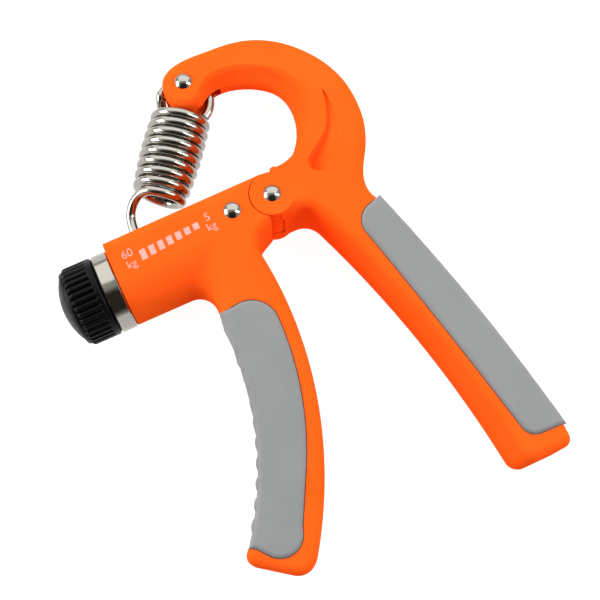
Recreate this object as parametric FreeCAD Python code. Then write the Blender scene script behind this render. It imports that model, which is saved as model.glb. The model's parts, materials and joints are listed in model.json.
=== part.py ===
"""Hand grip strengthener: two hinged handles, a wire spring and a screw-set load slider.

All sizes in millimetres. The shapes are drawn about the hinge axis: X runs from the knob
to the hinge, Y from the handle ends up to the arch, Z out of the front face. Every node
is then moved so that the part lies flat on its back on z = 0, centred on its box.
"""
import FreeCAD
import Part
import math
import os

V = FreeCAD.Vector

# ---- placement of the hinge axis in the delivered frame
HINGE_AT = V(11.8, 24.36, 12.5)

# ---- overall section sizes
HALF_T = 12.0            # half thickness of both handles
SEAM_R = 6.0             # blend between barrel and handle blade
GRIP_PROUD = 0.5         # rubber stands this far above the plastic
GRIP_DEPTH = 2.7         # rubber thickness
GRIP_EDGE_R = 1.5        # rounding of the rubber's rims
EDGE_R = 2.5             # rounding of the outline edges
ARCH_EDGE_R = 3.0        # softer rounding round the arch and its handle
RIB_R = 4.0              # finger rib radius
RIB_PROUD = 0.7          # finger rib crest above the blade's outer arc

# ---- barrel and load screw
SCREW_Y = -4.75
BARREL_R = 12.0
BARREL_X0, BARREL_X1 = -51.8, -0.4
BARREL_TOP0, BARREL_TOP1 = 7.3, 8.0
BARREL_EDGE = 3.6
SCREW_R = 2.5
TAIL_R = 2.0
RUN = 0.05               # radial running clearance
GAP = 0.3                # free gap between moving pieces
CAV_Z, CAV_Y0, CAV_Y1 = 6.5, -11.0, 5.3
CAV_X1 = -15.0
PLUG_X1 = -46.9
SLOT_HALF = 2.2
RING_R = 12.3
KNOB_R = 12.3

# ---- hinge
TONGUE_R, TONGUE_HALF = 6.7, 5.4
CHEEK_R, CHEEK_IN = 6.75, 6.0
PIN_R = 2.0
HEAD_R = 2.65

# ---- spring
WIRE_R = 1.5
COIL_R = 8.2             # wire circle at the widest turn
WIDEST_TURN = 3.4
COIL_TAPER = 0.043       # loss of radius per turn squared away from the widest turn
COIL_ANGLE = math.radians(52.1)
COIL_MID = V(-22.42, 27.88, 0)
TURNS = 9
PITCH = 3.24
EYE_R = 7.9
EYE_ANGLE = math.radians(244.8)          # from the rivet to the middle of the eye
SPRING_PIN = V(-9.15, 47.0, 0)
HOOK_PIN = V(-38.9, 3.2, 0)
HOOK_PIN_R = 1.25
EYE_BUSH_R = 2.0
SPRING_SLOT = 2.0        # half width of the slot for the spring's eye
TEARDROP_TILT = 22.0     # slope of the recess floor, degrees
LOBE_HALF = 6.3

# ---- slider
SLIDE_X0, SLIDE_X1 = -44.3, -33.3


def outline(start, steps):
    """Closed face from straight steps (x, y) and arcs ((mid), (end))."""
    edges = []
    here = V(start[0], start[1], 0)
    for step in steps + [start]:
        if isinstance(step, list):
            pts = [here] + [V(x, y, 0) for x, y in step]
            curve = Part.BSplineCurve()
            curve.interpolate(pts)
            edges.append(curve.toShape())
            here = pts[-1]
            continue
        if isinstance(step[0], tuple):
            mid = V(step[0][0], step[0][1], 0)
            end = V(step[1][0], step[1][1], 0)
            edges.append(Part.Arc(here, mid, end).toShape())
        else:
            end = V(step[0], step[1], 0)
            if (end - here).Length < 1e-6:
                continue
            edges.append(Part.LineSegment(here, end).toShape())
        here = end
    return Part.Face(Part.Wire(edges))


def slab(face, z0, z1):
    """Extrude a face drawn in the XY plane from z0 to z1."""
    moved = face.copy()
    moved.translate(V(0, 0, z0))
    return moved.extrude(V(0, 0, z1 - z0))


def box(x0, x1, y0, y1, z0, z1):
    return Part.makeBox(x1 - x0, y1 - y0, z1 - z0, V(x0, y0, z0))


def rod_x(radius, x0, x1, y=SCREW_Y, z=0.0):
    return Part.makeCylinder(radius, x1 - x0, V(x0, y, z), V(1, 0, 0))


def rod_z(radius, z0, z1, x=0.0, y=0.0):
    return Part.makeCylinder(radius, z1 - z0, V(x, y, z0))


def fuse(shapes):
    out = shapes[0]
    for shape in shapes[1:]:
        out = out.fuse(shape)
    return out.removeSplitter()


def face_edges(shape, heights, keep=None):
    """Edges lying wholly at one of the given z heights."""
    found = []
    for edge in shape.Edges:
        b = edge.BoundBox
        if b.ZMax - b.ZMin > 1e-4:
            continue
        if not any(abs(b.ZMin - h) < 1e-3 for h in heights):
            continue
        if keep is None or keep(b):
            found.append(edge)
    return found


def round_corners(shape, corners):
    """Fillet the upright edges that stand at the given (x, y, radius) corners."""
    for x, y, radius in corners:
        found = []
        for edge in shape.Edges:
            b = edge.BoundBox
            if abs(b.XMin - x) + abs(b.YMin - y) + abs(b.XMax - x) + abs(b.YMax - y) < 0.05:
                found.append(edge)
        shape = shape.makeFillet(radius, found)
    return shape


def lathe_x(points, y=SCREW_Y):
    """Solid of revolution about the screw axis from (x, radius) points."""
    ring = [V(x, y + r, 0) for x, r in points]
    wire = Part.makePolygon(ring + [ring[0]])
    return Part.Face(wire).revolve(V(0, y, 0), V(1, 0, 0), 360)


# ------------------------------------------------------------------ knob handle
OUTER_ARC_AT = V(-124.56, -33.22, 0)     # centre of the knob handle's outer arc
OUTER_ARC_R = 96.32
BLADE_X = -28.3                          # where the blade leaves the barrel
BLADE_CROWN = [(-28.0, 2.5), (-22.0, 5.0), (-14.0, 8.0), (2.0, 9.0)]


def outer_arc_point(degrees, radius):
    """Point on an arc about the knob handle's outer arc centre."""
    a = math.radians(degrees)
    p = OUTER_ARC_AT + V(math.cos(a), math.sin(a), 0) * radius
    return (p.x, p.y)


def knob_handle_outline():
    """Handle blade below the barrel, with the rounded crotch by the hinge."""
    return outline((BLADE_X, -9.0), [
        (BLADE_X, -27.0),
        ((-32.04, -60.0), (-51.1, -94.2)),
        (-35.4, -105.7),
        ((-12.3, -56.2), (-11.0, -11.0)),
        (-3.4, -7.0),
        (-3.4, 0.0),
    ])


def crown_section(y, radius):
    """Section across the blade whose outer edges are rounded to the radius."""
    s = radius * (1 - math.sqrt(0.5))
    p = [V(BLADE_X, y, radius - HALF_T), V(BLADE_X, y, HALF_T - radius),
         V(BLADE_X + radius, y, HALF_T), V(-8.0, y, HALF_T),
         V(-8.0, y, -HALF_T), V(BLADE_X + radius, y, -HALF_T)]
    return Part.Wire([
        Part.LineSegment(p[0], p[1]).toShape(),
        Part.Arc(p[1], V(BLADE_X + s, y, HALF_T - s), p[2]).toShape(),
        Part.LineSegment(p[2], p[3]).toShape(),
        Part.LineSegment(p[3], p[4]).toShape(),
        Part.LineSegment(p[4], p[5]).toShape(),
        Part.Arc(p[5], V(BLADE_X + s, y, s - HALF_T), p[0]).toShape(),
    ])


def crown_waste():
    """What comes off the top of the blade so that it swells out of the round barrel."""
    crown = Part.makeLoft([crown_section(y, r) for y, r in BLADE_CROWN], True, False)
    return box(BLADE_X - 0.7, -9.0, -28.0, 1.9, -13, 13).cut(crown)


def barrel_wire(x, top):
    """U section: half round below the screw axis, flat sides, rounded top edges."""
    r, y, e = BARREL_R, SCREW_Y, BARREL_EDGE
    a = V(x, y, -r)
    b = V(x, y, r)
    c = V(x, top - e, r)
    d = V(x, top, r - e)
    f = V(x, top, -r + e)
    g = V(x, top - e, -r)
    s = e * (1 - math.sqrt(0.5))
    edges = [
        Part.Arc(a, V(x, y - r, 0), b).toShape(),
        Part.LineSegment(b, c).toShape(),
        Part.Arc(c, V(x, top - s, r - s), d).toShape(),
        Part.LineSegment(d, f).toShape(),
        Part.Arc(f, V(x, top - s, -r + s), g).toShape(),
        Part.LineSegment(g, a).toShape(),
    ]
    return Part.Wire(edges)


def knob_handle_grip_region(grow):
    """Rubber area of the knob handle; grow moves only the outer side out."""
    radius = OUTER_ARC_R - grow
    return outline(outer_arc_point(3.7, radius), [
        outer_arc_point(3.7, OUTER_ARC_R + 4.3),
        ((-16.6, -28.7), (-13.8, -35.0)),
        ((-16.7, -57.2), (-24.7, -78.1)),
        (-32.3, -92.4),
        ((-38.3, -97.9), (-44.0, -95.4)),
        outer_arc_point(-37.15, OUTER_ARC_R + 2.0),
        outer_arc_point(-37.15, radius),
        (outer_arc_point(-16.7, radius), outer_arc_point(3.7, radius)),
    ])


def knob_handle_grip():
    skin = HALF_T + GRIP_PROUD
    body = slab(knob_handle_grip_region(GRIP_PROUD), -skin, skin)
    body = body.makeFillet(GRIP_EDGE_R, face_edges(body, [-skin, skin]))
    ribs = []
    for i in range(10):
        x, y = outer_arc_point(-2.9 - 3.38 * i, OUTER_ARC_R - RIB_PROUD + RIB_R)
        rib = rod_z(RIB_R, -skin + 0.6, skin - 0.6, x, y)
        ribs.append(rib.makeFillet(0.9, face_edges(rib, [-skin + 0.6, skin - 0.6])))
    limit = slab(knob_handle_grip_region(3.0), -skin, skin)
    body = fuse([body] + [rib.common(limit) for rib in ribs])
    return body.cut(knob_handle_core())


def knob_handle_core():
    """Plastic left standing under the rubber."""
    d = GRIP_DEPTH
    inner = outline((-28.3 + d, -20.0), [
        (-28.3 + d, -27.0),
        ((-32.04 + d, -60.0), (-45.6 + d, -91.0)),
        (-40.0, -98.0),
        (-20.0, -98.0),
        (-8.0, -60.0),
        (-8.0, -20.0),
    ])
    return slab(inner, -HALF_T + d, HALF_T - d)


def on_barrel_seam(edge):
    """True for the edges where the blade grows out of the barrel's round underside."""
    b = edge.BoundBox
    if b.XMin < BLADE_X - 0.5 or b.XMax > -14.0 or b.YMin < -28.1 or b.YMin > -8.0:
        return False
    for k in range(5):
        p = edge.valueAt(edge.FirstParameter + (edge.LastParameter - edge.FirstParameter) * k / 4.0)
        if abs(math.hypot(p.y - SCREW_Y, p.z) - BARREL_R) > 0.02:
            return False
    return True


def knob_handle_frame():
    blade = slab(knob_handle_outline(), -HALF_T, HALF_T)
    blade = round_corners(blade, [(-51.1, -94.2, 2.8), (-35.4, -105.7, 5.5), (-11.0, -11.0, 6.0)])
    rims = face_edges(blade, [-HALF_T, HALF_T], lambda b: b.YMax < -6.0)
    blade = blade.makeFillet(EDGE_R, rims)
    barrel = Part.makeLoft([barrel_wire(BARREL_X0, BARREL_TOP0),
                            barrel_wire(BARREL_X1, BARREL_TOP1)], True, True)
    clear = outline((-12.6, -20.0), [(-12.6, -9.4), (-3.4, -5.9), (1.0, -5.9), (1.0, -20.0)])
    barrel = barrel.cut(slab(clear, -13, 13))
    body = fuse([barrel, blade.cut(crown_waste())])
    body = body.makeFillet(SEAM_R, [e for e in body.Edges if on_barrel_seam(e)])
    for side in (-1, 1):
        z0, z1 = sorted((side * TONGUE_HALF, side * 13.0))
        body = body.cut(rod_z(CHEEK_R + GAP, z0, z1))
    tongue = rod_z(TONGUE_R, -TONGUE_HALF, TONGUE_HALF)
    stop = slab(outline((0.5, 5.0), [(0.5, 8.6), (3.6, 7.8), (3.0, 4.0)]),
                -TONGUE_HALF, TONGUE_HALF)
    body = fuse([body, tongue, stop])
    body = body.cut(box(BARREL_X0 - 1, CAV_X1, CAV_Y0, CAV_Y1, -CAV_Z, CAV_Z))
    body = body.cut(box(-45.0, -19.0, CAV_Y1 - 1, 12.0, -SLOT_HALF, SLOT_HALF))
    body = body.cut(rod_x(2.6, CAV_X1 - 1, -9.6))
    body = body.cut(rod_z(PIN_R, -13, 13, -12.9, 0.07))
    body = body.cut(rod_z(3.0, -13, -HALF_T + 1.0, -12.9, 0.07))
    body = body.cut(rod_z(PIN_R + 0.6, -13, 13))
    grip_cut = slab(knob_handle_grip_region(3.0), -13, 13).cut(knob_handle_core())
    return body.cut(grip_cut)


def end_plug():
    body = box(BARREL_X0, PLUG_X1, CAV_Y0, CAV_Y1, -CAV_Z, CAV_Z)
    return body.cut(rod_x(SCREW_R + RUN, BARREL_X0 - 1, PLUG_X1 + 1))


def end_ferrule():
    profile = [(-51.8, 4.0), (-51.8, 11.7), (-52.4, RING_R), (-56.5, RING_R), (-57.1, 11.7),
               (-57.1, 9.6), (-55.0, 9.6), (-55.0, 4.0)]
    return lathe_x(profile)


def thrust_washer():
    return lathe_x([(-56.3, SCREW_R + RUN), (-56.3, 6.0), (-55.0, 6.0), (-55.0, SCREW_R + RUN)])


def screw_tail_bush():
    return lathe_x([(CAV_X1 + 0.1, TAIL_R + RUN), (CAV_X1 + 0.1, 2.6), (-9.6, 2.6),
                    (-9.6, TAIL_R + RUN)])


def pin_with_head(x, y, radius, z_back, z_seat, head_r, rise):
    """Rivet: shank along z with a low domed head on the front."""
    shank = rod_z(radius, z_back, z_seat, x, y)
    ball_r = (head_r ** 2 + rise ** 2) / (2 * rise)
    ball = Part.makeSphere(ball_r, V(x, y, z_seat + rise - ball_r))
    dome = ball.common(rod_z(head_r, z_seat, z_seat + rise + 1, x, y))
    return fuse([shank, dome])


def pin_cap(x, y, radius, z_back, depth, cap_r):
    """Clinched ring over the back end of a rivet."""
    ring = rod_z(cap_r, z_back, z_back + depth, x, y)
    return ring.cut(rod_z(radius, z_back - 1, z_back + depth + 1, x, y))


# ------------------------------------------------------------------ arch handle
ARCH_OUTER = [(-16.0, 45.6), (-14.5, 51.45), (-9.3, 54.3), (0.7, 54.69), (11.1, 53.85),
              (22.2, 49.1), (30.6, 40.1), (35.4, 28.9), (36.35, 18.4), (35.3, 10.2),
              (31.9, 2.1), (28.1, -4.4), (27.0, -8.4), (28.3, -13.9)]
ARCH_CROWN = [(4.4, 7.9), (8.4, 9.3), (12.4, 12.4), (15.9, 17.4), (18.0, 23.2), (18.4, 28.2),
              (16.8, 33.6), (12.5, 37.8), (6.2, 40.8), (-0.4, 41.7), (-6.0, 39.4)]
ARCH_HALVES = [12.0, 12.0, 11.8, 11.5, 10.8, 9.8, 8.8, 7.9, 7.3, 7.1, 7.5]
CROWN_SPREAD = [0.15, 0.3, 0.5, 0.8, 1.0, 1.0, 1.05, 1.15, 1.15, 0.9, 0.4]
CROWN_SETBACK = [(0.0, 0.0), (0.25, 0.15), (0.38, 0.9), (0.52, 1.9), (0.70, 2.7), (0.87, 3.7),
                 (0.97, 4.9), (1.0, 5.8), (1.1, 7.5), (3.0, 8.0)]
CROWN_LEVELS = [0.0, 1.5, 3.0, 4.5, 6.0, 7.2, 8.6, 10.0, 11.2, 12.2]


def arch_handle_outline():
    """The arch handle with its arch still filled in."""
    p = SPRING_PIN
    return outline((-14.8, 40.9), [
        list(ARCH_OUTER),
        (29.9, -19.1),
        ((38.6, -53.2), (46.6, -96.0)),
        (46.7, -102.8),
        (30.9, -102.8),
        ((24.0, -56.8), (9.0, -7.0)),
        (0.0, -7.0),
        (0.0, 6.3),
        (2.0, 6.3),
        (2.5, 7.3),
        ARCH_CROWN[0],
        ARCH_CROWN[-1],
        ((p.x - 1.6, p.y - 8.4), (-14.8, 40.9)),
    ])


def setback(share):
    """How far the arch's inner wall stands back, at a share of the half thickness."""
    for (t0, b0), (t1, b1) in zip(CROWN_SETBACK, CROWN_SETBACK[1:]):
        if share <= t1:
            return b0 + (b1 - b0) * (share - t0) / (t1 - t0)
    return CROWN_SETBACK[-1][1]


def crown_ring(z):
    """Outline of the arch's opening at a height: tightest at the middle, flaring outwards."""
    last = len(ARCH_CROWN) - 1
    centre = [V(x, y, z) for x, y in ARCH_CROWN]
    points = []
    for i, p in enumerate(centre):
        along = (centre[min(i + 1, last)] - centre[max(i - 1, 0)]).normalize()
        back = setback(abs(z) / ARCH_HALVES[i]) * CROWN_SPREAD[i]
        points.append(p + V(along.y, -along.x, 0) * back)
    curve = Part.BSplineCurve()
    curve.interpolate(points)
    ring = [points[-1], V(-14.0, 32.0, z), V(-10.0, 14.0, z), points[0]]
    sides = [Part.LineSegment(a, b).toShape() for a, b in zip(ring, ring[1:])]
    return Part.Wire([curve.toShape()] + sides)


def arch_opening():
    """Everything inside the arch, as one body through the rings."""
    levels = [-z for z in reversed(CROWN_LEVELS[1:])] + CROWN_LEVELS
    return Part.makeLoft([crown_ring(z) for z in levels], True, False)


def arch_envelope():
    """Side view limit: full thickness at the hinge, thinner towards the top."""
    pts = [(-110.0, 12.0), (-70.0, 12.0), (-30.0, 12.0), (0.0, 12.0), (20.0, 11.2),
           (32.0, 9.0), (43.0, 6.9), (52.0, LOBE_HALF), (62.0, LOBE_HALF)]
    faces = []
    for sign in (1, -1):
        curve = Part.BSplineCurve()
        curve.interpolate([V(-60, y, sign * z) for y, z in pts])
        faces.append(curve.toShape())
    top = Part.LineSegment(V(-60, 62, LOBE_HALF), V(-60, 62, -LOBE_HALF)).toShape()
    low = Part.LineSegment(V(-60, -110, -12), V(-60, -110, 12)).toShape()
    return Part.Face(Part.Wire([faces[0], top, faces[1], low])).extrude(V(120, 0, 0))


def arch_rubber(grow, half):
    """Body of the arch handle's rubber area; grow moves only the outer side out."""
    area = outline((28.5 + grow, -13.73 + 0.3 * grow), [
        (18.5, -16.73),
        ((25.3, -46.6), (31.6, -77.0)),
        (35.4, -96.5),
        (46.5 + grow, -96.94 - 0.04 * grow),
        ((38.6 + grow, -53.2), (28.5 + grow, -13.73 + 0.3 * grow)),
    ])
    return round_corners(slab(area, -half, half), [(18.5, -16.73, 6.5), (35.4, -96.5, 4.5)])


def arch_handle_core():
    d = GRIP_DEPTH
    inner = outline((29.9 - d, -10.0), [
        (29.9 - d, -19.1),
        ((38.6 - d, -53.2), (46.6 - d, -98.0)),
        (30.0, -98.0),
        (12.0, -30.0),
        (12.0, -10.0),
    ])
    return slab(inner, -HALF_T + d, HALF_T - d)


def arch_handle_grip():
    skin = HALF_T + GRIP_PROUD
    body = arch_rubber(GRIP_PROUD, skin)
    body = body.makeFillet(GRIP_EDGE_R, face_edges(body, [-skin, skin]))
    return body.cut(arch_handle_core())


def teardrop():
    return outline((17.4, 0.4), [
        [(21.7, 3.5), (25.3, 8.6), (27.6, 15.0), (28.4, 20.5), (27.9, 25.6)],
        [(27.2, 21.6), (25.7, 16.8), (22.8, 11.8), (18.6, 8.2), (15.4, 5.8)],
        ((14.2, 2.6), (17.4, 0.4)),
    ])


def swing_centres():
    """Eye centre of the spring in the arch frame over its swing about the rivet."""
    reach = EYE_R - WIRE_R - EYE_BUSH_R
    centres = []
    for i in range(5):
        angle = EYE_ANGLE + math.radians(7.0 * i)
        centres.append(SPRING_PIN + V(math.cos(angle), math.sin(angle), 0) * reach)
    return centres


def outer_rims(body):
    """Edges where the outer walls meet the front and back faces."""
    rims = []
    for edge in body.Edges:
        b = edge.BoundBox
        if b.ZMin * b.ZMax < 0 or (b.XMax < 7.0 and b.YMax < 8.0):
            continue
        if not (b.XMin > -6.7 and b.XMax < 21.3 and b.YMin > 7.6):
            rims.append(edge)
    return rims


def teardrop_cutter(side):
    """Recess in one face, deepest along its left edge and running out to the right."""
    z0, z1 = sorted((side * (HALF_T - 0.1), side * (HALF_T + 6.0)))
    cutter = slab(teardrop(), z0, z1)
    cutter.rotate(V(21.0, 0.3, side * HALF_T), V(10.4, 18.7, 0), -side * TEARDROP_TILT)
    return cutter


def arch_handle_frame():
    body = slab(arch_handle_outline(), -HALF_T, HALF_T).common(arch_envelope())
    body = round_corners(body.removeSplitter(), [(46.7, -102.8, 2.8), (30.9, -102.8, 4.2),
                                                 (9.0, -7.0, 6.5)])
    body = body.makeFillet(ARCH_EDGE_R, outer_rims(body))
    body = body.cut(arch_opening())
    body = fuse([body, rod_z(CHEEK_R, -HALF_T, HALF_T)])
    body = body.cut(rod_z(CHEEK_R + GAP, -CHEEK_IN, CHEEK_IN))
    body = body.cut(slab(outline((-0.3, 4.0), [(-0.3, 12.5), (4.0, 8.2), (3.4, 4.0)]),
                         -CHEEK_IN, CHEEK_IN))
    for side in (-1, 1):
        body = body.cut(teardrop_cutter(side))
    for centre in swing_centres():
        body = body.cut(rod_z(EYE_R + WIRE_R + 0.4, -SPRING_SLOT, SPRING_SLOT, centre.x, centre.y))
    body = body.cut(rod_z(PIN_R, -13, 13))
    body = body.cut(rod_z(3.0, -13, -HALF_T + 1.0))
    body = body.cut(rod_z(1.4, -13, 13, SPRING_PIN.x, SPRING_PIN.y))
    grip_cut = arch_rubber(3.0, 13).cut(arch_handle_core())
    return body.cut(grip_cut)


def hinge_washer():
    solids = []
    for side in (-1, 1):
        z0, z1 = sorted((side * (TONGUE_HALF + 0.05), side * (CHEEK_IN - 0.0)))
        solids.append(rod_z(5.0, z0, z1).cut(rod_z(PIN_R, z0, z1)))
    return Part.makeCompound(solids)


def hinge_bush():
    return rod_z(PIN_R + 0.6, -TONGUE_HALF, TONGUE_HALF).cut(rod_z(PIN_R + RUN, -13, 13))


# ------------------------------------------------------------------ knob and screw
def knob():
    body = lathe_x([(-57.4, 0.0), (-57.4, 9.2), (-57.9, 11.6), (-58.9, 12.0), (-58.9, KNOB_R - 0.4),
                    (-66.0, KNOB_R - 0.4), (-67.2, 11.4), (-67.5, 10.9), (-67.5, 0.0)])
    boss = rod_x(5.5, -57.4, -56.6)
    body = fuse([body, boss])
    ribs = []
    for i in range(36):
        rib = box(-66.3, -59.0, SCREW_Y + KNOB_R - 1.2, SCREW_Y + KNOB_R, -0.55, 0.55)
        rib.rotate(V(0, SCREW_Y, 0), V(1, 0, 0), 10.0 * i)
        ribs.append(rib)
    body = body.multiFuse(ribs)
    body = body.cut(rod_x(10.0, -67.6, -66.6))
    body = body.cut(rod_x(3.2, -67.0, -65.2))
    body = body.cut(rod_x(SCREW_R, -62.0, -56.0))
    return body.cut(rod_x(1.5, -66.0, -61.0))


def knob_cap():
    rise, base = 3.1, 10.9
    ball_r = (base ** 2 + rise ** 2) / (2 * rise)
    ball = Part.makeSphere(ball_r, V(-70.6 + ball_r, SCREW_Y, 0))
    dome = ball.common(rod_x(base, -71.0, -67.5))
    return fuse([dome, rod_x(10.0, -67.5, -66.6)])


def knob_screw():
    body = fuse([rod_x(3.2, -66.6, -65.2), rod_x(1.5, -65.2, -58.5)])
    return body.cut(box(-66.9, -66.0, SCREW_Y - 0.4, SCREW_Y + 0.4, -2.6, 2.6))


def adjusting_screw():
    body = fuse([rod_x(SCREW_R, -62.0, CAV_X1 - 0.2), rod_x(TAIL_R, CAV_X1 - 0.2, -10.2)])
    groove = rod_x(SCREW_R + 1, -46.6, -45.6).cut(rod_x(1.9, -46.6, -45.6))
    body = body.cut(groove)
    return body.cut(rod_x(1.5, -62.1, -58.5))


def retaining_clip():
    body = rod_x(4.4, -46.6, -45.6).cut(rod_x(1.9, -46.6, -45.6))
    return body.cut(box(-46.7, -45.5, SCREW_Y - 5, SCREW_Y, -1.3, 1.3))


# ------------------------------------------------------------------ slider
def slider():
    z = CAV_Z - GAP
    body = box(SLIDE_X0, SLIDE_X1, CAV_Y0 + GAP, CAV_Y1 - GAP, -z, z)
    body = body.cut(box(SLIDE_X0 - 1, SLIDE_X1 + 1, -1.8, 9.0, -1.8, 1.8))
    body = body.cut(rod_z(HOOK_PIN_R, -9, 9, HOOK_PIN.x, HOOK_PIN.y))
    body = body.cut(rod_x(SCREW_R + 0.4, SLIDE_X0 - 1, SLIDE_X1 + 1))
    pocket = nut_blank()
    return body.cut(pocket)


def nut_blank():
    across = 7.0
    corner = across / math.sqrt(3)
    ring = [V(-41.0, SCREW_Y + corner * math.sin(math.radians(60 * i)),
              corner * math.cos(math.radians(60 * i))) for i in range(7)]
    return Part.Face(Part.makePolygon(ring)).extrude(V(4.0, 0, 0))


def slider_nut():
    return nut_blank().cut(rod_x(SCREW_R + RUN, -42.0, -36.0))


def hook_pin():
    z = CAV_Z - GAP
    return rod_z(HOOK_PIN_R, -z, z, HOOK_PIN.x, HOOK_PIN.y)


# ------------------------------------------------------------------ spring
def spring_axes():
    along = V(math.cos(COIL_ANGLE), math.sin(COIL_ANGLE), 0)
    side = V(-along.y, along.x, 0)
    return along, side


def coil_point(turn):
    """Wire centre; turn 0 is the top left of the coil, counted down the spring."""
    along, side = spring_axes()
    angle = 2 * math.pi * turn
    lift = (TURNS / 2.0 - turn) * PITCH
    radius = COIL_R - COIL_TAPER * (turn - WIDEST_TURN) ** 2
    return (COIL_MID + along * lift + side * (radius * math.cos(angle))
            - V(0, 0, radius * math.sin(angle)))


def eye_points():
    along, side = spring_axes()
    centre = swing_centres()[0]
    points = []
    for i in range(15):
        angle = math.radians(203 - 14.5 * i)
        points.append(centre + side * (EYE_R * math.cos(angle)) + along * (EYE_R * math.sin(angle)))
    return points


def hook_points():
    q = HOOK_PIN
    r = HOOK_PIN_R + WIRE_R + RUN
    points = [V(-34.9, 18.95, 5.1), V(-36.95, 18.85, 3.4), V(-39.1, 17.65, 1.6),
              V(-40.7, 15.5, 0.4), V(-41.5, 12.6, 0), V(-41.7, 8.5, 0)]
    for i in range(8):
        angle = math.radians(180 + 28 * i)
        points.append(V(q.x + r * math.cos(angle), q.y + r * math.sin(angle), 0))
    return points


def wire_sweep(points):
    curve = Part.BSplineCurve()
    curve.interpolate(points)
    path = Part.Wire([curve.toShape()])
    start = curve.tangent(curve.FirstParameter)[0]
    ring = Part.Wire([Part.Circle(points[0], start, WIRE_R).toShape()])
    return path.makePipeShell([ring], True, False)


def coil_run(first, last, step=0.125):
    count = int(round((last - first) / step))
    return [coil_point(first + (last - first) * i / count) for i in range(count + 1)]


def spring_upper():
    return wire_sweep(eye_points() + coil_run(0.1, 2.995))


def spring_middle():
    return wire_sweep(coil_run(3.005, 5.995))


def spring_lower():
    return wire_sweep(coil_run(6.005, 8.8) + hook_points())


def spring_bush():
    return rod_z(EYE_BUSH_R, -1.8, 1.8, SPRING_PIN.x, SPRING_PIN.y).cut(
        rod_z(1.4 + RUN, -2, 2, SPRING_PIN.x, SPRING_PIN.y))


NODES = {
    "knob_handle_frame": knob_handle_frame,
    "knob_handle_grip": knob_handle_grip,
    "end_plug": end_plug,
    "end_ferrule": end_ferrule,
    "thrust_washer": thrust_washer,
    "screw_tail_bush": screw_tail_bush,
    "barrel_rivet": lambda: pin_with_head(-12.9, 0.07, PIN_R, -12.0, 12.0, HEAD_R, 1.2),
    "barrel_rivet_cap": lambda: pin_cap(-12.9, 0.07, PIN_R, -12.0, 1.0, 3.0),
    "hinge_bush": hinge_bush,
    "arch_handle_frame": arch_handle_frame,
    "arch_handle_grip": arch_handle_grip,
    "hinge_rivet": lambda: pin_with_head(0, 0, PIN_R, -12.0, 12.0, HEAD_R, 1.2),
    "hinge_rivet_cap": lambda: pin_cap(0, 0, PIN_R, -12.0, 1.0, 3.0),
    "hinge_washer": hinge_washer,
    "spring_rivet": lambda: pin_with_head(SPRING_PIN.x, SPRING_PIN.y, 1.4, -LOBE_HALF,
                                          LOBE_HALF + 0.45, HEAD_R, 1.2),
    "spring_rivet_cap": lambda: pin_cap(SPRING_PIN.x, SPRING_PIN.y, 1.4, -7.7, 0.9, HEAD_R),
    "knob": knob,
    "knob_cap": knob_cap,
    "knob_screw": knob_screw,
    "adjusting_screw": adjusting_screw,
    "retaining_clip": retaining_clip,
    "slider": slider,
    "slider_nut": slider_nut,
    "hook_pin": hook_pin,
    "spring_bush": spring_bush,
    "spring_upper": spring_upper,
    "spring_middle": spring_middle,
    "spring_lower": spring_lower,
}

os.makedirs("parts", exist_ok=True)
for name, make in NODES.items():
    shape = make()
    shape.translate(HINGE_AT)
    shape.exportStep("parts/" + name + ".step")
    bb = shape.BoundBox
    print("%-18s solids %d valid %s  x %.2f %.2f  y %.2f %.2f  z %.2f %.2f  vol %.0f" % (
        name, len(shape.Solids), shape.isValid(), bb.XMin, bb.XMax, bb.YMin, bb.YMax,
        bb.ZMin, bb.ZMax, shape.Volume))
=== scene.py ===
"""Looks of the hand grip strengthener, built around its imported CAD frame."""
import json
import math

import bmesh
import bpy
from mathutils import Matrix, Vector


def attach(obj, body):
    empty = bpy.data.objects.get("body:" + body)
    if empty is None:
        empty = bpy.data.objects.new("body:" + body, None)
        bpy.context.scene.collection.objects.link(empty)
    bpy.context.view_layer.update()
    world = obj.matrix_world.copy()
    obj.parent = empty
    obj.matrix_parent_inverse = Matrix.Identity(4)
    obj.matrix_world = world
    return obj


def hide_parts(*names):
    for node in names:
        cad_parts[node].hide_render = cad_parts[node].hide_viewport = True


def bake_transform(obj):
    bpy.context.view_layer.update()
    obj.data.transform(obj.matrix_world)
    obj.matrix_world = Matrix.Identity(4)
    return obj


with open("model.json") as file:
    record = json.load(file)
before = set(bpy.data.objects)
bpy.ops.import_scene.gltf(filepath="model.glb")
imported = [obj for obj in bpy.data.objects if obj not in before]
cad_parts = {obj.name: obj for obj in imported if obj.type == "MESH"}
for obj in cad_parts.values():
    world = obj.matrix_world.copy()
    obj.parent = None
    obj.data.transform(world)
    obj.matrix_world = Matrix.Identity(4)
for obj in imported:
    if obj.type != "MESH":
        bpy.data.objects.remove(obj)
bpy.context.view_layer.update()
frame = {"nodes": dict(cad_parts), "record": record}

MM = 0.001
HINGE = Vector((11.8, 24.36, 12.5))

# barrel, knob and spring sizes in millimetres about the hinge axis, as in the CAD part
SCREW_Y = -4.75
KNOB_R = 12.3
WIRE_R = 1.5
COIL_R = 8.2
WIDEST_TURN = 3.4
COIL_TAPER = 0.043
COIL_ANGLE = math.radians(52.1)
COIL_MID = Vector((-22.42, 27.88, 0))
TURNS = 9
PITCH = 3.24
EYE_R = 7.9
EYE_ANGLE = math.radians(244.8)
SPRING_PIN = Vector((-9.15, 47.0, 0))
HOOK_PIN = Vector((-38.9, 3.2, 0))
HOOK_PIN_R = 1.25
EYE_BUSH_R = 2.0
ALONG = Vector((math.cos(COIL_ANGLE), math.sin(COIL_ANGLE), 0))
SIDE = Vector((-ALONG.y, ALONG.x, 0))


def at(p):
    """A point in millimetres about the hinge, as metres in the row frame."""
    return (Vector(p) + HINGE) * MM


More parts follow.
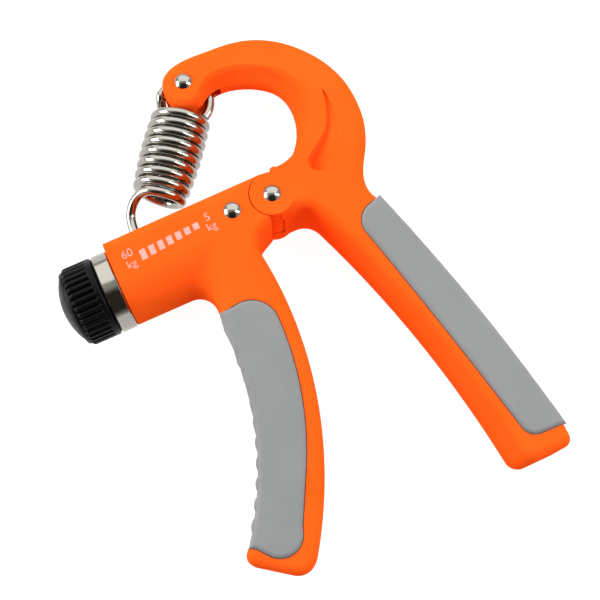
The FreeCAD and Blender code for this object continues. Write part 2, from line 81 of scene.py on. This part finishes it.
def new_object(name, bm, smooth=True):
    mesh = bpy.data.meshes.new(name)
    bm.normal_update()
    bm.to_mesh(mesh)
    bm.free()
    for poly in mesh.polygons:
        poly.use_smooth = smooth
    obj = bpy.data.objects.new(name, mesh)
    bpy.context.scene.collection.objects.link(obj)
    return obj


def bridge(bm, rings):
    """Skin a run of closed rings that have the same number of points."""
    count = len(rings[0])
    for r0, r1 in zip(rings, rings[1:]):
        for k in range(count):
            bm.faces.new((r0[k], r0[(k + 1) % count], r1[(k + 1) % count], r1[k]))


def sharpen(obj, angle):
    """Keep crisp corners where faces meet at more than the angle."""
    obj.data.set_sharp_from_angle(angle=math.radians(angle))


# ------------------------------------------------------------------ materials
def shader(name, base, rough, metallic=0.0, **more):
    mat = bpy.data.materials.new(name)
    mat.use_nodes = True
    nodes = mat.node_tree.nodes
    bsdf = nodes["Principled BSDF"]
    bsdf.inputs["Base Color"].default_value = (*base, 1)
    bsdf.inputs["Roughness"].default_value = rough
    bsdf.inputs["Metallic"].default_value = metallic
    for key, value in more.items():
        bsdf.inputs[key.replace("_", " ")].default_value = value
    return mat


def object_coords(mat, scale):
    nodes, links = mat.node_tree.nodes, mat.node_tree.links
    coords = nodes.new("ShaderNodeTexCoord")
    mapping = nodes.new("ShaderNodeMapping")
    mapping.inputs["Scale"].default_value = scale
    links.new(coords.outputs["Object"], mapping.inputs["Vector"])
    return mapping.outputs["Vector"]


def noise(mat, scale, detail=3.0, stretch=(1, 1, 1)):
    node = mat.node_tree.nodes.new("ShaderNodeTexNoise")
    node.inputs["Scale"].default_value = scale
    node.inputs["Detail"].default_value = detail
    mat.node_tree.links.new(object_coords(mat, stretch), node.inputs["Vector"])
    return node.outputs["Fac"]


def remap(mat, fac, low, high, to_socket):
    node = mat.node_tree.nodes.new("ShaderNodeMapRange")
    node.inputs["From Min"].default_value = 0.3
    node.inputs["From Max"].default_value = 0.7
    node.inputs["To Min"].default_value = low
    node.inputs["To Max"].default_value = high
    mat.node_tree.links.new(fac, node.inputs["Value"])
    mat.node_tree.links.new(node.outputs["Result"], to_socket)


def tint(mat, fac, dark, light):
    """Base colour drifting between two close colours."""
    node = mat.node_tree.nodes.new("ShaderNodeValToRGB")
    node.color_ramp.elements[0].position = 0.35
    node.color_ramp.elements[0].color = (*dark, 1)
    node.color_ramp.elements[1].position = 0.65
    node.color_ramp.elements[1].color = (*light, 1)
    mat.node_tree.links.new(fac, node.inputs["Fac"])
    mat.node_tree.links.new(node.outputs["Color"],
                            mat.node_tree.nodes["Principled BSDF"].inputs["Base Color"])


def bump(mat, fac, strength, distance):
    node = mat.node_tree.nodes.new("ShaderNodeBump")
    node.inputs["Strength"].default_value = strength
    node.inputs["Distance"].default_value = distance
    mat.node_tree.links.new(fac, node.inputs["Height"])
    mat.node_tree.links.new(node.outputs["Normal"],
                            mat.node_tree.nodes["Principled BSDF"].inputs["Normal"])


def bsdf_in(mat, key):
    return mat.node_tree.nodes["Principled BSDF"].inputs[key]


def orange_plastic():
    mat = shader("orange_plastic", (0.94, 0.098, 0.009), 0.46, Specular_IOR_Level=0.0)
    tint(mat, noise(mat, 60), (0.93, 0.094, 0.008), (0.95, 0.103, 0.010))
    remap(mat, noise(mat, 240), 0.42, 0.50, bsdf_in(mat, "Roughness"))
    bump(mat, noise(mat, 5200, 2), 0.12, 0.00004)
    return mat


def grey_rubber():
    mat = shader("grey_rubber", (0.19, 0.197, 0.2), 0.66, Specular_IOR_Level=0.35)
    tint(mat, noise(mat, 90), (0.190, 0.198, 0.198), (0.202, 0.210, 0.210))
    remap(mat, noise(mat, 400), 0.60, 0.72, bsdf_in(mat, "Roughness"))
    bump(mat, noise(mat, 3600, 3), 0.25, 0.00006)
    return mat


def black_plastic():
    mat = shader("black_plastic", (0.002, 0.002, 0.003), 0.36, Specular_IOR_Level=0.09)
    remap(mat, noise(mat, 300), 0.30, 0.44, bsdf_in(mat, "Roughness"))
    bump(mat, noise(mat, 4200, 2), 0.18, 0.00004)
    return mat


def bright_metal(name, base, rough, grain):
    mat = shader(name, base, rough, 1.0)
    remap(mat, noise(mat, 500, 2), rough * 0.7, rough * 1.4, bsdf_in(mat, "Roughness"))
    bump(mat, noise(mat, grain, 2), 0.06, 0.00003)
    return mat


def dull_nylon():
    mat = shader("natural_nylon", (0.42, 0.40, 0.35), 0.5, Subsurface_Weight=0.05)
    bump(mat, noise(mat, 2500), 0.1, 0.00005)
    return mat


def print_ink():
    mat = shader("pale_ink", (0.80, 0.31, 0.275), 0.5, Specular_IOR_Level=0.3)
    tint(mat, noise(mat, 900), (0.78, 0.29, 0.255), (0.82, 0.33, 0.295))
    return mat


ORANGE = orange_plastic()
RUBBER = grey_rubber()
BLACK = black_plastic()
CHROME = bright_metal("nickel_plate", (0.33, 0.315, 0.285), 0.13, 1800)
STEEL = bright_metal("turned_steel", (0.52, 0.52, 0.53), 0.32, 1200)
NYLON = dull_nylon()
INK = print_ink()

SLOT_MATERIAL = {
    "orange_plastic": ORANGE, "grey_rubber": RUBBER, "black_plastic": BLACK,
    "polished_steel": CHROME, "plain_steel": STEEL, "bearing_plastic": NYLON,
    "slider_plastic": BLACK,
}


def dress_cad():
    """Give every CAD node the material of its slot."""
    slots = {s["node"]: s["material_slot"] for s in frame["record"]["subparts"]}
    for name, obj in frame["nodes"].items():
        mat = SLOT_MATERIAL[slots[name]]
        if not obj.material_slots:
            obj.data.materials.append(mat)
        for slot in obj.material_slots:
            slot.material = mat


# ------------------------------------------------------------------ spring
def coil_point(turn):
    angle = 2 * math.pi * turn
    lift = (TURNS / 2 - turn) * PITCH
    radius = COIL_R - COIL_TAPER * (turn - WIDEST_TURN) ** 2
    return (COIL_MID + ALONG * lift + SIDE * (radius * math.cos(angle))
            - Vector((0, 0, radius * math.sin(angle))))


def eye_points():
    reach = EYE_R - WIRE_R - EYE_BUSH_R
    centre = SPRING_PIN + Vector((math.cos(EYE_ANGLE), math.sin(EYE_ANGLE), 0)) * reach
    points = []
    for i in range(15):
        angle = math.radians(203 - 14.5 * i)
        points.append(centre + SIDE * (EYE_R * math.cos(angle)) + ALONG * (EYE_R * math.sin(angle)))
    return points


def hook_points():
    r = HOOK_PIN_R + WIRE_R + 0.05
    points = [Vector(p) for p in
              ((-34.9, 18.95, 5.1), (-36.95, 18.85, 3.4), (-39.1, 17.65, 1.6),
               (-40.7, 15.5, 0.4), (-41.5, 12.6, 0), (-41.7, 8.5, 0))]
    for i in range(8):
        angle = math.radians(180 + 28 * i)
        points.append(HOOK_PIN + Vector((r * math.cos(angle), r * math.sin(angle), 0)))
    return points


def smooth_path(points, per_span=6):
    """Catmull-Rom curve through the points."""
    ends = [points[0] * 2 - points[1]] + points + [points[-1] * 2 - points[-2]]
    out = []
    for a, b, c, d in zip(ends, ends[1:], ends[2:], ends[3:]):
        for i in range(per_span):
            t = i / per_span
            out.append(0.5 * (2 * b + (c - a) * t + (2 * a - 5 * b + 4 * c - d) * t * t
                              + (3 * b - a - 3 * c + d) * t ** 3))
    return out + [points[-1]]


def wire_mesh(name, path, radius, sides=20):
    """Round wire along a path, with flat ends."""
    bm = bmesh.new()
    rings = []
    up = Vector((0, 0, 1))
    last = len(path) - 1
    normal = None
    for i, p in enumerate(path):
        tangent = (path[min(i + 1, last)] - path[max(i - 1, 0)]).normalized()
        if normal is None:
            normal = (up - tangent * up.dot(tangent)).normalized()
        else:
            normal = (normal - tangent * normal.dot(tangent)).normalized()
        across = tangent.cross(normal)
        ring = []
        for k in range(sides):
            a = 2 * math.pi * k / sides
            spoke = (normal * math.cos(a) + across * math.sin(a)) * radius
            ring.append(bm.verts.new(at(p + spoke)))
        rings.append(ring)
    bridge(bm, rings)
    bm.faces.new(list(reversed(rings[0])))
    bm.faces.new(rings[-1])
    obj = new_object(name, bm)
    sharpen(obj, 60)
    return obj


def build_spring():
    steps = 20
    coil = [coil_point(i / steps) for i in range(2, int(8.8 * steps) + 1)]
    eye = eye_points()
    path = smooth_path(eye + coil + hook_points(), 4)
    split = 4 * (len(eye) + 6 * steps - 2)
    upper = wire_mesh("spring_coil_wire", path[:split + 1], WIRE_R)
    lower = wire_mesh("spring_hook_wire", path[split:], WIRE_R)
    for obj in (upper, lower):
        obj.data.materials.append(CHROME)
    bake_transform(upper)
    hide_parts("spring_upper", "spring_middle")
    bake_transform(lower)
    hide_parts("spring_lower")


# ------------------------------------------------------------------ knob
RIBS = 36
RIB_DEPTH = 0.95
DOME_BASE, DOME_RISE, KNOB_TOP = 10.35, 2.9, -70.6
KNOB_PROFILE = [         # x, radius, share of the rib depth
    (-57.3, 6.0, 0), (-57.3, 11.6, 0), (-57.4, 12.0, 0), (-57.6, 12.2, 0), (-57.9, KNOB_R, 0),
    (-58.7, KNOB_R, 0), (-58.9, KNOB_R, 0.15), (-59.1, KNOB_R, 0.5), (-59.4, KNOB_R, 0.85),
    (-59.9, KNOB_R, 1), (-62.5, KNOB_R, 1), (-65.4, KNOB_R, 1), (-65.8, 12.25, 1),
    (-66.1, 12.05, 1), (-66.35, 11.75, 0.8), (-66.5, 11.6, 0.4), (-66.6, 11.55, 0),
    (-67.2, 11.35, 0), (-67.5, 11.15, 0), (-67.62, 10.9, 0), (-67.62, 10.75, 0),
    (-67.45, 10.6, 0), (-67.45, 10.45, 0), (-67.7, 10.35, 0),
]


def knob_body():
    """Turned knob with rounded ribs, a chamfered rim and a domed end cap."""
    ball = (DOME_BASE ** 2 + DOME_RISE ** 2) / (2 * DOME_RISE)
    profile = list(KNOB_PROFILE)
    for i in range(1, 12):
        r = DOME_BASE * (1 - i / 12)
        profile.append((KNOB_TOP + ball - math.sqrt(ball ** 2 - r ** 2), r, 0))
    bm = bmesh.new()
    around = RIBS * 10
    rings = []
    for x, radius, depth in profile:
        ring = []
        for k in range(around):
            turn = 2 * math.pi * k / around
            crest = abs(math.cos(RIBS / 2 * turn))
            r = radius - depth * RIB_DEPTH * (1 - crest) ** 1.6
            ring.append(bm.verts.new(at((x, SCREW_Y + r * math.cos(turn), r * math.sin(turn)))))
        rings.append(ring)
    bridge(bm, rings)
    for ring, x in ((rings[0], -57.4), (rings[-1], KNOB_TOP)):
        hub = bm.verts.new(at((x, SCREW_Y, 0)))
        for k in range(around):
            bm.faces.new((ring[k], ring[(k + 1) % around], hub))
    bmesh.ops.recalc_face_normals(bm, faces=bm.faces)
    obj = new_object("knob_body", bm)
    sharpen(obj, 50)
    obj.data.materials.append(BLACK)
    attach(obj, "load_screw")
    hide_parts("knob", "knob_cap")


# ------------------------------------------------------------------ finger ribs
OUTER_ARC_AT = Vector((-124.56, -33.22, 0))
OUTER_ARC_R = 96.32
RIB_R = 4.0
RIB_PROUD = 1.05         # crest above the blade's outer arc
RIB_COUNT = 10
RIB_FIRST, RIB_STEP = 2.9, 3.38          # degrees along the arc


def finger_ribs():
    """Rounded crests of the ten finger ribs along the ribbed grip's outer side."""
    half, soft, sides = 12.1, 0.9, 48
    levels = [(-half, RIB_R - soft), (-half + 0.26 * soft, RIB_R - 0.29 * soft),
              (-half + soft, RIB_R), (half - soft, RIB_R),
              (half - 0.26 * soft, RIB_R - 0.29 * soft), (half, RIB_R - soft)]
    bm = bmesh.new()
    for i in range(RIB_COUNT):
        angle = math.radians(-RIB_FIRST - RIB_STEP * i)
        out = Vector((math.cos(angle), math.sin(angle), 0))
        centre = OUTER_ARC_AT + out * (OUTER_ARC_R - RIB_PROUD + RIB_R)
        rings = []
        for z, r in levels:
            ring = []
            for k in range(sides):
                turn = 2 * math.pi * k / sides
                ring.append(bm.verts.new(at((centre.x + r * math.cos(turn),
                                             centre.y + r * math.sin(turn), z))))
            rings.append(ring)
        bridge(bm, rings)
        bm.faces.new(list(reversed(rings[0])))
        bm.faces.new(rings[-1])
    obj = new_object("finger_rib_crests", bm)
    sharpen(obj, 40)
    obj.data.materials.append(RUBBER)
    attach(obj, "knob_handle")


# ------------------------------------------------------------------ printed scale
PRINT_Z = 12.0           # the barrel's flat face
BAR_COUNT = 7
BAR_PITCH, BAR_WIDTH = 2.883, 1.8
BAR_X0 = -42.8           # left edge of the first bar
BAR_HEIGHT, BAR_SHRINK = 3.3, 0.21
BAR_RISE = 0.15          # each bar's top stands this much above the one before


def flat_patch(bm, corners):
    """Thin printed patch standing a hair proud of the barrel face."""
    low = [bm.verts.new(at((x, y, PRINT_Z - 0.05))) for x, y in corners]
    top = [bm.verts.new(at((x, y, PRINT_Z + 0.03))) for x, y in corners]
    bm.faces.new(top)
    bm.faces.new(list(reversed(low)))
    count = len(corners)
    for k in range(count):
        bm.faces.new((low[k], low[(k + 1) % count], top[(k + 1) % count], top[k]))


def scale_bars():
    bm = bmesh.new()
    for i in range(BAR_COUNT):
        x = BAR_X0 + BAR_PITCH * i
        right = x + BAR_WIDTH
        top = BAR_RISE * i
        low = top - (BAR_HEIGHT - BAR_SHRINK * i)
        flat_patch(bm, [(x, low), (right, low + 0.04), (right, top + 0.05), (x, top)])
    obj = new_object("load_scale_bars", bm, smooth=False)
    obj.data.materials.append(INK)
    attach(obj, "knob_handle")


def scale_text(name, text, x, y, size):
    curve = bpy.data.curves.new(name, "FONT")
    curve.body = text
    curve.size = size * MM
    curve.align_x = "CENTER"
    curve.align_y = "CENTER"
    curve.extrude = 0.04 * MM
    curve.offset = -0.012 * MM
    curve.resolution_u = 6
    holder = bpy.data.objects.new(name + "_curve", curve)
    bpy.context.scene.collection.objects.link(holder)
    holder.location = at((x, y, PRINT_Z - 0.01))
    holder.rotation_euler = (0, 0, math.radians(1.0))
    bpy.context.view_layer.update()
    mesh = bpy.data.meshes.new_from_object(holder)
    mesh.transform(holder.matrix_world)
    bpy.data.objects.remove(holder)
    bpy.data.curves.remove(curve)
    obj = bpy.data.objects.new(name, mesh)
    bpy.context.scene.collection.objects.link(obj)
    obj.data.materials.clear()
    obj.data.materials.append(INK)
    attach(obj, "knob_handle")


# ------------------------------------------------------------------ studio
def area_light(name, place, aim, size, power, colour=(1, 1, 1)):
    light = bpy.data.lights.new(name, "AREA")
    light.shape = "RECTANGLE"
    light.size, light.size_y = size
    light.energy = power
    light.color = colour
    obj = bpy.data.objects.new(name, light)
    bpy.context.scene.collection.objects.link(obj)
    obj.location = place
    obj.rotation_euler = (Vector(aim) - Vector(place)).to_track_quat("-Z", "Y").to_euler()
    return obj


def build_floor():
    bm = bmesh.new()
    size = 3.0
    corners = [bm.verts.new((x * size, y * size, -0.0003)) for x, y in
               ((-1, -1), (1, -1), (1, 1), (-1, 1))]
    bm.faces.new(corners)
    floor = new_object("studio_floor", bm, smooth=False)
    mat = shader("floor_white", (0.22, 0.22, 0.22), 0.9, Specular_IOR_Level=0.1)
    remap(mat, noise(mat, 40), 0.85, 0.95, bsdf_in(mat, "Roughness"))
    bsdf_in(mat, "Emission Color").default_value = (1, 1, 1, 1)
    bsdf_in(mat, "Emission Strength").default_value = 0.95
    floor.data.materials.append(mat)


def build_world():
    """Soft room light with one darker patch between the camera and the near side."""
    world = bpy.data.worlds.new("studio")
    world.use_nodes = True
    nodes, links = world.node_tree.nodes, world.node_tree.links
    coords = nodes.new("ShaderNodeTexCoord")
    facing = nodes.new("ShaderNodeVectorMath")
    facing.operation = "DOT_PRODUCT"
    facing.inputs[1].default_value = (-0.311, -0.676, 0.669)
    ramp = nodes.new("ShaderNodeValToRGB")
    ramp.color_ramp.elements[0].position = 0.70
    ramp.color_ramp.elements[0].color = (0.62, 0.61, 0.58, 1)
    ramp.color_ramp.elements[1].position = 0.84
    ramp.color_ramp.elements[1].color = (0.05, 0.045, 0.035, 1)
    links.new(coords.outputs["Generated"], facing.inputs[0])
    links.new(facing.outputs["Value"], ramp.inputs["Fac"])
    links.new(ramp.outputs["Color"], nodes["Background"].inputs["Color"])
    nodes["Background"].inputs["Strength"].default_value = 1.0
    bpy.context.scene.world = world


def build_camera():
    data = bpy.data.cameras.new("view")
    data.lens = 66.0
    data.sensor_width = 36.0
    cam = bpy.data.objects.new("view", data)
    bpy.context.scene.collection.objects.link(cam)
    place = at((-40.53, -107.98, 318.76))
    aim = at((-4.84, -30.38, 0.0))
    cam.location = place
    cam.rotation_euler = (aim - place).to_track_quat("-Z", "Y").to_euler()
    data.clip_start = 0.01
    bpy.context.scene.camera = cam


def build_lights():
    area_light("top", (0.27, 0.59, 0.66), (0, 0, 0), (1.8, 1.2), 10.0)
    area_light("left", (-0.58, 0.27, 0.30), (0, 0, 0), (0.5, 0.35), 4.6)
    area_light("right", (0.49, -0.22, 0.45), (0, 0, 0), (0.15, 0.5), 3.0)


dress_cad()
build_spring()
knob_body()
finger_ribs()
scale_bars()
scale_text("scale_60", "60", -46.3, 0.4, 3.6)
scale_text("scale_60_kg", "kg", -46.1, -3.0, 3.4)
scale_text("scale_5", "5", -20.5, 1.1, 3.6)
scale_text("scale_5_kg", "kg", -20.4, -2.1, 3.4)
build_floor()
build_world()
build_camera()
build_lights()
bpy.context.scene.view_settings.view_transform = "Standard"
